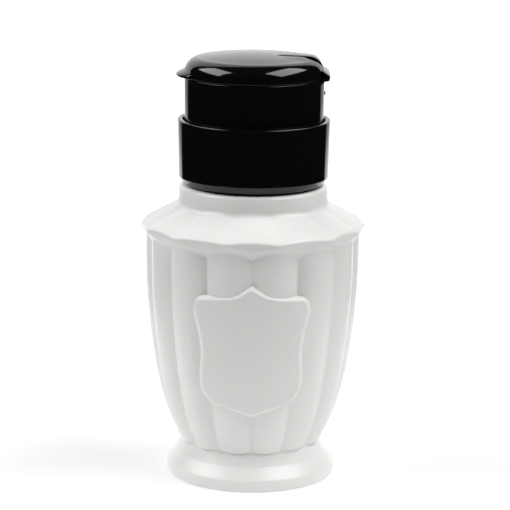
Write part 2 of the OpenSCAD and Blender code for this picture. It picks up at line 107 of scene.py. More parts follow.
class BottleSettings(bpy.types.PropertyGroup):
    """Sizes and colour of the white bottle."""

    lobes: IntProperty(name="Lobes", description="Lobes round the bottle", default=14, min=8, max=20)
    crease: FloatProperty(
        name="Crease", description="Depth of the creases at the shoulder", default=1.9 * MM, unit="LENGTH"
    )
    petal_rise: FloatProperty(
        name="Petal rise",
        description="Rise of each shoulder petal over its valleys",
        default=0.55 * MM,
        unit="LENGTH",
    )
    shield_width: FloatProperty(
        name="Shield width", description="Width of the raised shield", default=35 * MM, unit="LENGTH"
    )
    shield_height: FloatProperty(
        name="Shield height", description="Height of the raised shield", default=42 * MM, unit="LENGTH"
    )
    shield_foot: FloatProperty(
        name="Shield foot",
        description="Height of the shield's lowest point",
        default=25.2 * MM,
        unit="LENGTH",
    )
    shield_proud: FloatProperty(
        name="Shield proud",
        description="How far the shield stands out of the lobes",
        default=0.6 * MM,
        unit="LENGTH",
    )
    colour: FloatVectorProperty(
        name="Colour", description="Colour of the bottle", subtype="COLOR", default=linear("#EDEDEB")
    )


class ClosureSettings(bpy.types.PropertyGroup):
    """Sizes and colour of the black collar, push cup and lid."""

    wall: FloatProperty(name="Wall", description="Wall of the lid", default=1.5 * MM, unit="LENGTH")
    lid_round: FloatProperty(
        name="Lid rounding", description="Radius of the lid's rounded edge", default=4.5 * MM, unit="LENGTH"
    )
    lid_crown: FloatProperty(
        name="Lid crown", description="Rise of the lid's domed top", default=1.35 * MM, unit="LENGTH"
    )
    tab_radius: FloatProperty(
        name="Tab radius", description="Radius of the thumb tab's outline", default=14 * MM, unit="LENGTH"
    )
    slot: FloatProperty(
        name="Slot", description="Width of the slots beside the spring strap", default=0.6 * MM, unit="LENGTH"
    )
    colour: FloatVectorProperty(
        name="Colour", description="Colour of the closure", subtype="COLOR", default=linear("#0B0B0C")
    )


class StudioSettings(bpy.types.PropertyGroup):
    """Camera and lights."""

    distance: FloatProperty(
        name="Distance", description="Camera's distance from the bottle's axis", default=0.7365, unit="LENGTH"
    )
    height: FloatProperty(name="Height", description="Camera's height", default=0.2344, unit="LENGTH")
    pitch: FloatProperty(
        name="Pitch", description="How far the camera looks down", default=math.radians(12.6), subtype="ANGLE"
    )
    roll: FloatProperty(
        name="Roll", description="How far the camera leans", default=math.radians(0.69), subtype="ANGLE"
    )
    focal: FloatProperty(
        name="Focal length", description="Lens on a 36 mm sensor, in millimetres", default=169.4
    )
    softbox: FloatProperty(name="Softboxes", description="Radiance of the two side softboxes", default=5.35)
    backdrop: FloatProperty(name="Backdrop", description="Brightness of the white backdrop", default=1.07)


# ---------- modelling helpers ----------


def rounded(corners, arc=4):
    """Groups of outline points, one group for each corner (x, z, fillet): a fillet becomes an arc."""
    groups = []
    for i, (x, z, fillet) in enumerate(corners):
        here = Vector((x, z))
        if fillet <= 0 or i in (0, len(corners) - 1):
            groups.append([here])
            continue
        back = Vector(corners[i - 1][:2]) - here
        on = Vector(corners[i + 1][:2]) - here
        half = back.angle(on) / 2
        reach = fillet / math.tan(half)
        for side, other in ((back, corners[i - 1][2]), (on, corners[i + 1][2])):
            reach = min(reach, side.length * fillet / (fillet + other))
        centre = here + (back.normalized() + on.normalized()).normalized() * reach / math.cos(half)
        start = here + back.normalized() * reach - centre
        end = here + on.normalized() * reach - centre
        sweep = start.angle_signed(end)
        groups.append([centre + Matrix.Rotation(-sweep * k / arc, 2) @ start for k in range(arc + 1)])
    return groups


def eased(u):
    """A share from 0 to 1, eased at both ends."""
    return u * u * (3 - 2 * u)


def outline(corners, arc=4):
    """A flat list of outline points."""
    return [tuple(p) for group in rounded(corners, arc) for p in group]


def choose(obj, *others):
    """Selects obj and the others alone, with obj active."""
    bpy.ops.object.select_all(action="DESELECT")
    for other in (*others, obj):
        other.select_set(True)
    bpy.context.view_layer.objects.active = obj


def traced(name, points):
    """A new piece of one line: a vertex extruded from point to point in the XZ plane."""
    bpy.ops.object.select_all(action="DESELECT")
    bpy.ops.mesh.primitive_circle_add(vertices=3, radius=MM)
    obj = bpy.context.object
    obj.name = obj.data.name = name
    bpy.ops.object.mode_set(mode="EDIT")
    bpy.ops.mesh.select_mode(type="VERT")
    bpy.ops.mesh.select_all(action="SELECT")
    bpy.ops.mesh.merge(type="CENTER")
    bpy.ops.transform.translate(value=(points[0][0] * MM, 0, points[0][1] * MM))
    for (x0, z0), (x1, z1) in zip(points, points[1:]):
        bpy.ops.mesh.extrude_vertices_move(
            TRANSFORM_OT_translate={"value": ((x1 - x0) * MM, 0, (z1 - z0) * MM)}
        )
    bpy.ops.object.mode_set(mode="OBJECT")
    return obj


def closed():
    """Merges the doubles of the mesh in edit mode, turns its faces outwards and leaves edit mode."""
    bpy.ops.mesh.select_all(action="SELECT")
    bpy.ops.mesh.remove_doubles(threshold=MM / 1000)
    bpy.ops.mesh.normals_make_consistent(inside=False)
    bpy.ops.object.mode_set(mode="OBJECT")


def spun(obj, steps):
    """obj's outline spun once round the Z axis, closed where it meets itself."""
    bpy.ops.object.mode_set(mode="EDIT")
    bpy.ops.mesh.select_all(action="SELECT")
    bpy.ops.mesh.spin(steps=steps, angle=TAU, center=(0, 0, 0), axis=(0, 0, 1))
    closed()
    return obj


def turned(name, points, steps=160):
    """A turned piece."""
    return spun(traced(name, points), steps)


def vertices(obj):
    """Vertex places as an array, in millimetres."""
    flat = np.empty(len(obj.data.vertices) * 3)
    obj.data.vertices.foreach_get("co", flat)
    return flat.reshape(-1, 3) / MM


def move_vertices(obj, places):
    """Puts the vertices at places, in millimetres."""
    obj.data.vertices.foreach_set("co", (places * MM).ravel())
    obj.data.update()


def select_faces(obj, chosen):
    """Leaves obj in edit mode with only the chosen faces selected."""
    bpy.context.view_layer.objects.active = obj
    bpy.ops.object.mode_set(mode="EDIT")
    bpy.ops.mesh.select_mode(type="FACE")
    bpy.ops.mesh.select_all(action="DESELECT")
    bpy.ops.object.mode_set(mode="OBJECT")
    obj.data.polygons.foreach_set("select", chosen)
    bpy.ops.object.mode_set(mode="EDIT")


def apply_modifier(obj, kind, **settings):
    """Adds a modifier and applies it."""
    choose(obj)
    modifier = obj.modifiers.new(kind.title(), kind)
    for key, value in settings.items():
        setattr(modifier, key, value)
    bpy.ops.object.modifier_apply(modifier=modifier.name)


def cut(obj, cutter):
    """Takes cutter out of obj and deletes it."""
    apply_modifier(obj, "BOOLEAN", operation="DIFFERENCE", object=cutter, solver="EXACT")
    bpy.data.objects.remove(cutter)


def block(name, lo, hi, bevel=0.0):
    """A box between two corners, in millimetres, with its edges bevelled."""
    bpy.ops.object.select_all(action="DESELECT")
    bpy.ops.mesh.primitive_cube_add(size=1)
    obj = bpy.context.object
    obj.name = obj.data.name = name
    lo, hi = Vector(lo), Vector(hi)
    obj.data.transform(Matrix.Translation((lo + hi) / 2 * MM) @ Matrix.Diagonal(((hi - lo) * MM).to_4d()))
    if bevel:
        apply_modifier(obj, "BEVEL", width=bevel * MM, segments=3)
    return obj


def prism(name, corners, y0, y1, bevel=0.0):
    """An outline in the XZ plane extruded along Y, in millimetres."""
    obj = traced(name, corners)
    bpy.ops.object.mode_set(mode="EDIT")
    bpy.ops.mesh.select_all(action="SELECT")
    bpy.ops.mesh.edge_face_add()
    bpy.ops.transform.translate(value=(0, y0 * MM, 0))
    bpy.ops.mesh.extrude_region_move(TRANSFORM_OT_translate={"value": (0, (y1 - y0) * MM, 0)})
    bpy.ops.mesh.select_all(action="SELECT")
    bpy.ops.mesh.normals_make_consistent(inside=False)
    bpy.ops.object.mode_set(mode="OBJECT")
    if bevel:
        apply_modifier(obj, "BEVEL", width=bevel * MM, segments=3)
    return obj


def upright(name, corners, z0, z1):
    """An outline in the XY plane extruded upwards, in millimetres."""
    obj = prism(name, [(x, -y) for x, y in corners], z0, z1)
    obj.data.transform(Matrix.Rotation(math.pi / 2, 4, "X"))
    return obj


def joined(obj, *others):
    """obj with the others joined into its mesh."""
    choose(obj, *others)
    bpy.ops.object.join()
    return obj


def finished(obj, body, material, stands_for, smooth=32):
    """Shades a piece, gives it its material and lets it ride on its body in place of CAD nodes."""
    choose(obj)
    bpy.ops.object.shade_smooth_by_angle(angle=math.radians(smooth))
    obj.data.materials.clear()
    obj.data.materials.append(material)
    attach(obj, body)
    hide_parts(*stands_for)


# ---------- materials ----------


def add_node(tree, kind, values=None, links=None, **settings):
    """Adds a node, sets its properties and input values, and links its inputs."""
    made = tree.nodes.new(kind)
    for key, value in settings.items():
        setattr(made, key, value)
    for key, value in (values or {}).items():
        made.inputs[key].default_value = value
    for key, (source, output) in (links or {}).items():
        tree.links.new(source.outputs[output], made.inputs[key])
    return made


def new_material(name):
    """An empty node material, its tree, its Principled shader and its Object coordinates."""
    material = bpy.data.materials.new(name)
    material.use_nodes = True
    tree = material.node_tree
    shader = tree.nodes["Principled BSDF"]
    coords = add_node(tree, "ShaderNodeTexCoord")
    return material, tree, shader, coords


def plastic(name, colour, roughness, grain_mm, grain_depth, wave_mm, wave_depth, **sockets):
    """A moulded plastic: the mould's faint grain, and the slow waviness of the wall.

    A mould's grain is too fine to show, so it is drawn coarser.
    """
    if name in bpy.data.materials:
        return bpy.data.materials[name]
    material, tree, shader, coords = new_material(name)
    shader.inputs["Base Color"].default_value = (*colour, 1)
    for key, value in sockets.items():
        shader.inputs[key.replace("_", " ")].default_value = value
    links = {"Vector": (coords, "Object")}
    grain = add_node(tree, "ShaderNodeTexNoise", {"Scale": 1 / (grain_mm * MM), "Detail": 3}, links)
    wave = add_node(tree, "ShaderNodeTexNoise", {"Scale": 1 / (wave_mm * MM), "Detail": 1}, links)
    spread = add_node(
        tree,
        "ShaderNodeMapRange",
        {"To Min": roughness * 0.85, "To Max": roughness * 1.15},
        {"Value": (grain, "Fac")},
    )
    tree.links.new(spread.outputs["Result"], shader.inputs["Roughness"])
    slow = add_node(
        tree, "ShaderNodeBump", {"Strength": 1, "Distance": wave_depth * MM}, {"Height": (wave, "Fac")}
    )
    fine = add_node(
        tree,
        "ShaderNodeBump",
        {"Strength": 1, "Distance": grain_depth * MM},
        {"Height": (grain, "Fac"), "Normal": (slow, "Normal")},
    )
    tree.links.new(fine.outputs["Normal"], shader.inputs["Normal"])
    return material


def blow_moulded_hdpe():
    """Blow-moulded white polyethylene: bright, a little translucent, with a soft shine."""
    return plastic(
        "blow_moulded_hdpe",
        bpy.context.scene.bottle_settings.colour,
        roughness=0.3,
        grain_mm=0.5,
        grain_depth=0.003,
        wave_mm=9,
        wave_depth=0.05,
        IOR=1.5,
        Subsurface_Weight=0.12,
        Subsurface_Scale=1.2 * MM,
    )


def gloss_black_pp():
    """Injection-moulded black polypropylene from a polished mould: deep, with mirror-like highlights."""
    return plastic(
        "gloss_black_pp",
        bpy.context.scene.closure_settings.colour,
        roughness=0.09,
        grain_mm=0.4,
        grain_depth=0.0006,
        wave_mm=7,
        wave_depth=0.012,
        IOR=1.49,
    )


def natural_pp():
    """Natural polypropylene: milky, satin and a little translucent."""
    return plastic(
        "natural_pp",
        linear("#E6E8E1"),
        roughness=0.42,
        grain_mm=0.3,
        grain_depth=0.004,
        wave_mm=4,
        wave_depth=0.01,
        IOR=1.49,
        Subsurface_Weight=0.35,
        Subsurface_Scale=2 * MM,
    )


def soft_seal():
    """Soft polyethylene foam of the seals: white and matt."""
    return plastic(
        "soft_seal",
        linear("#E9E8E2"),
        roughness=0.7,
        grain_mm=0.25,
        grain_depth=0.012,
        wave_mm=3,
        wave_depth=0.01,
        IOR=1.5,
        Subsurface_Weight=0.2,
        Subsurface_Scale=1 * MM,
    )


def drawn_steel():
    """Stainless steel of the drawn spring wire and the balls: a bright sheen, a little uneven.

    The marks of its making are too fine to show, so they are drawn coarser.
    """
    name = "drawn_steel"
    if name in bpy.data.materials:
        return bpy.data.materials[name]
    material, tree, shader, coords = new_material(name)
    shader.inputs["Base Color"].default_value = (*linear("#C9CBCD"), 1)
    shader.inputs["Metallic"].default_value = 1
    marks = add_node(
        tree, "ShaderNodeTexNoise", {"Scale": 1 / (0.15 * MM), "Detail": 2}, {"Vector": (coords, "Object")}
    )
    spread = add_node(tree, "ShaderNodeMapRange", {"To Min": 0.18, "To Max": 0.34}, {"Value": (marks, "Fac")})
    tree.links.new(spread.outputs["Result"], shader.inputs["Roughness"])
    return material


# ---------- bottle ----------

FOOT_R = 26.5
WAIST_R = 21.85
TOE_Z = 11.25  # underside of the lobes' rounded toes
TOE_R = 22.0  # radius of the crests there
LOBE_Z, LOBE_TOP = 13.2, 71.0  # the lobes run as plain curves between these heights
BARREL_Z = 71.7  # above here the lobes run straight up
BODY_R = 33.5
TUCK = 0.26  # share of the barrel's taper that comes as a sharp tuck above the foot
CREASE_FADE = 0.55  # share of the creases' depth that is gone at the toes
RIM_R = high("bottle", 0)
RING_R = 23.5
RING_TOP = 92.7
NECK_R = 15.0
NECK_TOP = high("neck", 2)
THREAD_R = NECK_R + 1.1
THREAD_Z = 95.9  # the neck's thread starts here
THREAD_PITCH = 4
THREAD_WIDTH = 1.5
THREAD_RUNOUT = 1 / 6  # turns over which a thread's ends sink away
THREAD_STUB = 0.05  # share of a thread's height that is left at its very ends
BORE_R = 12.7
WALL = 1.8
FLOOR_Z = 3.4
INNER_TOP = 70.0  # the wall inside follows the creases from here down
LOBE_ROWS, INNER_ROWS = 53, 8  # rows of points along the lobes, outside and inside
COLUMNS = 24  # columns of faces across one lobe
CREASE_PULL = 0.4  # how far the columns crowd towards the creases
CREASE_SOFT = 0.03  # rounding of a crease, as a share of half a lobe
PETAL_SOFT = 0.05  # rounding of a petal's edge, as a share of half a petal
PETAL_DIP = 0.72  # how far the petals' middles stay inside their edges at the rim
# Angles from the front, in degrees: the lobes' crests, and the petals' edges over them. 0 is the middle.
CREST_ANGLES = np.radians([0, 12.9, 38.6, 64.3, 90])
PETAL_ANGLES = np.radians([0, 13.5, 44, 68.5, 90])
SHELF_Z = 91.0  # the wall inside leaves the neck's bore here
SHELF_SLOPE = 0.56
SHIELD_SPAN = 0.9  # the shield lies within this angle of the front, in radians
SHIELD_LOW, SHIELD_HIGH = 20, 72  # and between these heights
SHIELD_BACK = 0.1 * BODY_R  # the axis of the shield's face lies this far behind the bottle's
SHIELD_EDGE = 0.9  # faces this near to the shield's outline are cut finer
BEVEL = 0.65  # width of the bevel round the shield's face
BEVEL_DROP = 0.4  # fall of the bevel across its width
SHIELD_WALL = 12  # steepness of the shield's wall below its bevel, in bevel drops for each millimetre

# Right half of the shield's outline from its peak to its point: shares of half width and height
SHIELD_HALF = [
    (0, 0.99), (0.1, 0.97), (0.24, 0.933), (0.4, 0.914), (0.58, 0.906), (0.76, 0.904), (0.9, 0.894),
    (0.98, 0.858), (1, 0.805), (0.975, 0.74), (0.93, 0.67), (0.89, 0.59), (0.865, 0.5), (0.865, 0.41),
    (0.885, 0.32), (0.875, 0.235), (0.81, 0.16), (0.67, 0.091), (0.5, 0.068), (0.27, 0.04), (0.1, 0.012),
    (0, 0),
]  # fmt: skip


def crest_radius(z):
    """Radius of the lobes' crests: a barrel that tucks in sharply above the foot."""
    u = np.clip((BARREL_Z - z) / (BARREL_Z - TOE_Z), 0, 1)
    return BODY_R - (BODY_R - TOE_R) * ((1 - TUCK) * u**2 + TUCK * u**8)


def crease_radius(z, depth):
    """Radius of the creases, which grow shallower towards the foot."""
    u = np.clip((BARREL_Z - z) / (BARREL_Z - TOE_Z), 0, 1)
    return crest_radius(z) - depth * (1 - CREASE_FADE * u**3)


def skin_rows(depth, rise):
    """Rows of the bottle's skin: (crest r, crest z, crease r, crease z, 1 where the row is a petal)."""
    shelf = BODY_R - depth - WALL
    shelf_z = SHELF_Z - SHELF_SLOPE * (shelf - BORE_R)
    corners = [  # crest r and z, crease r and z, fillet, petal
        ((0, 1.2), (0, 1.2), 0, 0),
        ((21.9, 1.2), (21.9, 1.2), 0.4, 0),
        ((23.1, 0), (23.1, 0), 0.4, 0),
        ((FOOT_R, 0), (FOOT_R, 0), 0.9, 0),
        ((FOOT_R, 3.75), (FOOT_R, 3.75), 0.8, 0),
        ((23.7, 7.4), (23.7, 7.4), 2.4, 0),
        ((WAIST_R, TOE_Z), (WAIST_R - 0.05, TOE_Z + 0.35), 0.25, 0),
        ((WAIST_R + 0.9, TOE_Z), (WAIST_R - 0.03, TOE_Z + 0.85), 0.9, 0),
    ]
    for z in np.linspace(LOBE_Z, LOBE_TOP, LOBE_ROWS):
        corners.append(((crest_radius(z), z), (crease_radius(z, depth), z), 0, 0))
    corners += [
        ((BODY_R, 77.3), (BODY_R - depth, 75.2), 2.0, 0),
        ((BODY_R + 0.75, 78.6), (BODY_R + 0.3, 77.7), 1.0, 0),
        ((RIM_R, 79.3), (RIM_R - PETAL_DIP, 79.5), 0.9, 1),
        ((RIM_R, 80.4), (RIM_R - PETAL_DIP, 80.4 + rise), 0.9, 1),
        ((RING_R, 86.5), (RING_R, 86.45 + rise), 2.3, 1),
        ((RING_R - 0.35, RING_TOP), (RING_R - 0.35, RING_TOP), 1.2, 0),
        ((NECK_R, RING_TOP), (NECK_R, RING_TOP), 0.3, 0),
        ((NECK_R, NECK_TOP), (NECK_R, NECK_TOP), 0.4, 0),
        ((BORE_R, NECK_TOP), (BORE_R, NECK_TOP), 0.4, 0),
        ((BORE_R, SHELF_Z), (BORE_R, SHELF_Z), 1.0, 0),
        ((shelf, shelf_z), (shelf, shelf_z), 1.5, 0),
    ]
    for z in np.linspace(INNER_TOP, LOBE_Z, INNER_ROWS):
        inside = crease_radius(z, depth) - WALL
        corners.append(((inside, z), (inside, z), 0, 0))
    corners += [
        ((FOOT_R - 3.4, FLOOR_Z), (FOOT_R - 3.4, FLOOR_Z), 1.5, 0),
        ((0, FLOOR_Z), (0, FLOOR_Z), 0, 0),
    ]
    crests = rounded([(*c[0], c[2]) for c in corners])
    creases = rounded([(*c[1], c[2]) for c in corners])
    rows = []
    for (_, _, _, petal), crest, crease in zip(corners, crests, creases):
        for a, b in zip(crest, crease):
            rows.append((*a, *b, petal))
    return filled(rows)


def filled(rows, gap=1.3, until=88):
    """The rows with even steps put into the long gaps of the outside below a height."""
    out = [rows[0]]
    for a, b in zip(rows, rows[1:]):
        length = max(math.dist(a[:2], b[:2]), math.dist(a[2:4], b[2:4]))
        outside = a[1] < until and max(a[0], b[0]) > crest_radius(min(a[1], b[1])) - 0.5
        steps = math.ceil(length / gap) if outside else 1
        out += [tuple(np.array(a) + (np.array(b) - np.array(a)) * k / steps) for k in range(1, steps + 1)]
    return out


def lobe_share(t, depth):
    """How deep a lobe has fallen at t, from its crest (0) to its crease (1): a round arc."""
    half = math.pi / bpy.context.scene.bottle_settings.lobes
    far = (BODY_R - depth) * math.cos(half)
    side = (BODY_R - depth) * math.sin(half)
    arc = ((BODY_R - far) ** 2 + side**2) / (2 * (BODY_R - far))
    centre = BODY_R - arc
    a = np.abs(t) * half
    return (BODY_R - centre * np.cos(a) - np.sqrt(arc**2 - (centre * np.sin(a)) ** 2)) / depth


def softened(q, soft):
    """A distance from a kink, with the kink rounded."""
    return (np.sqrt(q**2 + soft**2) - soft) / (math.sqrt(1 + soft**2) - soft)


def shield_outline(width, height, foot):
    """The shield's closed outline as smooth points (x, z)."""
    half = SHIELD_HALF
    ring = [(p[0] * width / 2, foot + p[1] * height) for p in half]
    ring += [(-x, z) for x, z in reversed(ring[1:-1])]
    points = np.array(ring)
    smooth = []
    n = len(points)
    kinks = (0, len(half) - 1)  # the peak and the point stay sharp
    for i in range(n):
        a, b = points[i], points[(i + 1) % n]
        before = points[i - 1] if i not in kinks else a - (b - a)
        after = points[(i + 2) % n] if (i + 1) % n not in kinks else b + (b - a)
        for t in np.linspace(0, 1, 8, endpoint=False):
            smooth.append(
                0.5
                * (
                    2 * a
                    + (b - before) * t
                    + (2 * before - 5 * a + 4 * b - after) * t**2
                    + (3 * a - before - 3 * b + after) * t**3
                )
            )
    return np.array(smooth)


def inside_distance(x, z, ring):
    """Distance of each point from the ring, positive inside it."""
    a, b = ring, np.roll(ring, -1, axis=0)
    edge = b - a
    best = np.full(len(x), 1e9)
    crossings = np.zeros(len(x), dtype=int)
    for (ax, az), (_, bz), (ex, ez) in zip(a, b, edge):
        t = np.clip(((x - ax) * ex + (z - az) * ez) / (ex**2 + ez**2), 0, 1)
        best = np.minimum(best, np.hypot(x - ax - t * ex, z - az - t * ez))
        spans = (az > z) != (bz > z)
        if ez:
            crossings += spans & (x < ax + (z - az) * ex / ez)
    return np.where(crossings % 2 == 1, best, -best)


def petal_shift(angle):
    """How far the petals' edges stand aside from the lobes' crests: the middle petals are the widest."""
    side = np.arcsin(np.clip(np.cos(angle), -1, 1))  # from the front or the back, towards +X
    edge = np.interp(np.abs(side), CREST_ANGLES, PETAL_ANGLES)
    return (edge - np.abs(side)) * np.sign(side) * np.sign(-np.sin(angle))


def skin_places(obj, rows, settings, ring):
    """Places of the skin's points and their distances inside the shield, from their row and angle."""
    flat = vertices(obj)
    turn = np.arctan2(flat[:, 1], flat[:, 0])
    row = np.empty(len(flat))
    obj.data.attributes["row"].data.foreach_get("value", row)
    table = np.array(rows)
    depth = settings.crease / MM
    step = TAU / settings.lobes
    crest_r, crest_z, crease_r, crease_z, petal = (
        np.interp(row, np.arange(len(rows)), table[:, k]) for k in range(5)
    )
    lobe = np.round(turn / step)
    t = 2 * (turn / step - lobe)
    t = (1 + CREASE_PULL) * t - CREASE_PULL * t**3
    angle = (lobe + t / 2) * step
    angle += petal * petal_shift(angle)
    fall = lobe_share(1 - softened(1 - np.abs(t), CREASE_SOFT), depth)
    swell = 1 - (1 - softened(np.abs(t), PETAL_SOFT)) ** 2
    share = (1 - petal) * fall + petal * swell
    r = crest_r + (crease_r - crest_r) * share
    z = crest_z + (crease_z - crest_z) * share
    # the shield stands out towards the front: a plain curved face with a bevel round its edge
    face = SHIELD_BACK + crest_radius(z) + settings.shield_proud / MM
    front = np.abs(angle + math.pi / 2)
    front = np.minimum(front, TAU - front)
    outside = row < table[:, 1].argmax()  # the rows below the neck's top
    near = outside & (front < SHIELD_SPAN) & (z > SHIELD_LOW) & (z < SHIELD_HIGH)
    x = r * np.cos(angle)
    y = r * np.sin(angle)
    distance = np.full(len(r), -99.0)
    distance[near] = inside_distance(x[near], z[near], ring)
    fallen = np.where(distance > 0, 1 - np.minimum(distance / BEVEL, 1), 1 - SHIELD_WALL * distance)
    proud = SHIELD_BACK - np.sqrt(np.maximum(face**2 - x**2, 0)) + fallen * BEVEL_DROP
    y = np.where(near, np.minimum(y, proud), y)
    return np.stack([x, y, z], axis=1), distance


def thread_ridge(name, root, crest, start, turns):
    """One ridge of the screw thread from its root radius to its crest radius, its ends sunk away."""
    half = THREAD_WIDTH / 2
    sides = [(root, -half), (crest, -half / 2), (crest, half / 2), (root, half), (root, -half)]
    obj = traced(name, [(r, start + z) for r, z in sides])
    apply_modifier(
        obj,
        "SCREW",
        angle=TAU * turns,
        screw_offset=THREAD_PITCH * turns * MM,
        steps=round(60 * turns),
        render_steps=round(60 * turns),
        axis="Z",
    )
    places = vertices(obj)
    around = np.arctan2(places[:, 1], places[:, 0]) / TAU % 1
    along = around + np.round((places[:, 2] - start) / THREAD_PITCH - around)
    fade = np.clip(np.minimum(along, turns - along) / THREAD_RUNOUT, 0, 1)
    out = np.hypot(places[:, 0], places[:, 1])
    shown = root + (out - root) * (THREAD_STUB + (1 - THREAD_STUB) * fade)
    places[:, :2] *= (shown / out)[:, None]
    move_vertices(obj, places)
    bpy.ops.object.mode_set(mode="EDIT")
    closed()
    return obj


def row_attribute(obj, rows):
    """Stores on each vertex of a traced line the row that it stands for."""
    places = vertices(obj)
    table = np.array(rows)
    gap = (places[:, None, 0] - table[None, :, 0]) ** 2 + (places[:, None, 2] - table[None, :, 1]) ** 2
    layer = obj.data.attributes.new("row", "FLOAT", "POINT")
    layer.data.foreach_set("value", gap.argmin(axis=1).astype(float))


class PUMPBOTTLE_OT_bottle(bpy.types.Operator):
    """Models the white bottle with its lobes, shoulder petals, shield and neck"""

    bl_idname = "pumpbottle.bottle"
    bl_label = "Bottle"

    def execute(self, context):
        s = context.scene.bottle_settings
        rows = skin_rows(s.crease / MM, s.petal_rise / MM)
        ring = shield_outline(s.shield_width / MM, s.shield_height / MM, s.shield_foot / MM)
        obj = traced("bottle_shell", [r[:2] for r in rows])
        row_attribute(obj, rows)
        spun(obj, s.lobes * COLUMNS)
        _, distance = skin_places(obj, rows, s, ring)
        # finer faces along the shield's outline make its bevel smooth
        chosen = [bool(np.abs(distance[list(p.vertices)]).min() < SHIELD_EDGE) for p in obj.data.polygons]
        select_faces(obj, chosen)
        bpy.ops.mesh.subdivide(number_cuts=4)
        bpy.ops.object.mode_set(mode="OBJECT")
        places, _ = skin_places(obj, rows, s, ring)
        move_vertices(obj, places)
        obj = joined(obj, thread_ridge("thread", NECK_R - 0.3, THREAD_R, THREAD_Z, turns=1.5))
        finished(obj, "bottle", blow_moulded_hdpe(), ["bottle", "neck"], smooth=50)
        return {"FINISHED"}


# ---------- closure ----------

COLLAR_R = high("collar", 0)
COLLAR_Z = low("collar", 2)
COLLAR_TOP = high("collar", 2)
SKIRT_R = 16.5  # inside of the collar's threaded skirt
SKIRT_OUT = 18.2
WEB_R = 9.0  # hole in the collar's web
WELL_R = 22.2  # inside of the well that the cup sinks into
WELL_Z = COLLAR_Z + 1.8
CUP_R = 21.7
CUP_IN = 20.3
CUP_Z = low("cup", 2)
BOSS_R = 5.2  # boss under the cup's deck, over the stem
STEM_R = 2.8
OIL_R = 2.3  # the oil's way through the deck
CUP_TOP = high("cup", 2)
LID_Z = CUP_TOP + 0.3
LID_TOP = high("lid", 2)
HINGE_X = 22.95
HINGE_Z = CUP_TOP + 0.15
HINGE_HALF = 7.5
BEAD_R = 0.16  # the thin bead that the lid turns on


def around_hinge(radius, angles):
    """Points round the hinge's axis, in the XZ plane."""
    return [(HINGE_X + radius * math.cos(a), HINGE_Z + radius * math.sin(a)) for a in angles]


class PUMPBOTTLE_OT_collar(bpy.types.Operator):
    """Models the black screw collar"""

    bl_idname = "pumpbottle.collar"
    bl_label = "Collar"

    def execute(self, context):
        web = low("pump_cap", 2) + 5.8
        corners = [
            (WEB_R, web, 0), (WEB_R, web + 1.6, 0.3), (SKIRT_OUT, web + 1.6, 0.4), (SKIRT_OUT, WELL_Z, 0.4),
            (WELL_R, WELL_Z, 0.4), (WELL_R, COLLAR_TOP, 0.3), (COLLAR_R, COLLAR_TOP, 0.35),
            (COLLAR_R - 0.3, COLLAR_Z + 2.1, 0.6), (COLLAR_R - 1.5, COLLAR_Z, 0.7), (SKIRT_R, COLLAR_Z, 0.3),
            (SKIRT_R, web, 0), (WEB_R, web, 0),
        ]  # fmt: skip
        obj = turned("collar_shell", outline(corners))
        start = THREAD_Z + THREAD_PITCH / 2
        obj = joined(obj, thread_ridge("thread", SKIRT_R + 0.3, NECK_R + 0.4, start, turns=1.25))
        finished(obj, "collar", gloss_black_pp(), ["collar"])
        return {"FINISHED"}


class PUMPBOTTLE_OT_cup(bpy.types.Operator):
    """Models the push cup with the lower leaf of its hinge"""

    bl_idname = "pumpbottle.cup"
    bl_label = "Push cup"

    def execute(self, context):
        deck = low("dish", 2)
        under = deck - 1.4
        shoulder = deck - 1.6
        boss = CUP_Z + 12.1
        corners = [
            (OIL_R, deck, 0), (CUP_IN, deck, 0), (CUP_IN, CUP_TOP, 0.2), (CUP_R, CUP_TOP, 0.15),
            (CUP_R, CUP_Z, 0.3), (CUP_IN, CUP_Z, 0.2), (CUP_IN, under, 0.5), (BOSS_R, under, 0.4),
            (BOSS_R, boss, 0.3), (STEM_R, boss, 0), (STEM_R, shoulder, 0), (OIL_R, shoulder, 0),
            (OIL_R, deck, 0),
        ]  # fmt: skip
        obj = turned("cup_shell", outline(corners))
        # the lower leaf reaches under the bead that the lid turns on
        falls = [(19.8, 2.0), (21.6, 0.35), (22.85, 0.25), (22.96, 0.17)]
        corners = [(x, CUP_TOP - fall) for x, fall in falls]
        corners += around_hinge(BEAD_R + 0.06, np.radians([-90, -105, -125, -145]))
        leaf = prism("leaf", corners + [(22.6, CUP_TOP), (19.8, CUP_TOP)], -HINGE_HALF, HINGE_HALF)
        lo, hi = (CUP_R - 0.3, -0.55, CUP_TOP - 5.5), (CUP_R + 0.35, 0.55, CUP_TOP - 4.3)
        lug = block("lug", lo, hi, bevel=0.25)
        obj = joined(obj, leaf, lug)
        finished(obj, "push_cup", gloss_black_pp(), ["cup"])
        return {"FINISHED"}


TAB_LOW, TAB_HIGH = 0.4, 2.3  # the tab's edge falls away between these heights above the seam
STRAP = 3.3  # half width of the spring strap
# the strap's top, from its root in the dome to the hinge: x and height below the lid's top
STRAP_TOP = [
    (6.2, 0.7), (7.0, 0.3), (7.8, 0.24), (11.7, 0.32), (13.9, 0.37), (15.4, 0.45), (16.4, 0.52),
    (17.3, 0.6), (18.2, 0.78), (18.8, 1.0), (19.4, 1.4), (20.0, 1.95), (20.4, 2.45), (20.75, 3.2),
    (21.05, 4.2), (21.4, 5.0), (22.0, 5.6), (22.7, 5.95),
]  # fmt: skip
STRAP_UNDER = [(19.4, 130.4), (17, 131.6), (6.2, 131.9)]  # its underside: x and height
STRAP_STEP = 0.18  # the strap's top over the dome beside it
STRAP_FADE = 6  # the dome falls back to its round form this far beside the strap
RAISED_TO, ROUND_FROM = 14.5, 19  # and between these places towards the hinge
TAB_SPAN = math.radians(38)  # the tab lies within this angle of -X
TAB_SKIN = 0.6  # the tab takes in the wall's points this far inwards and upwards
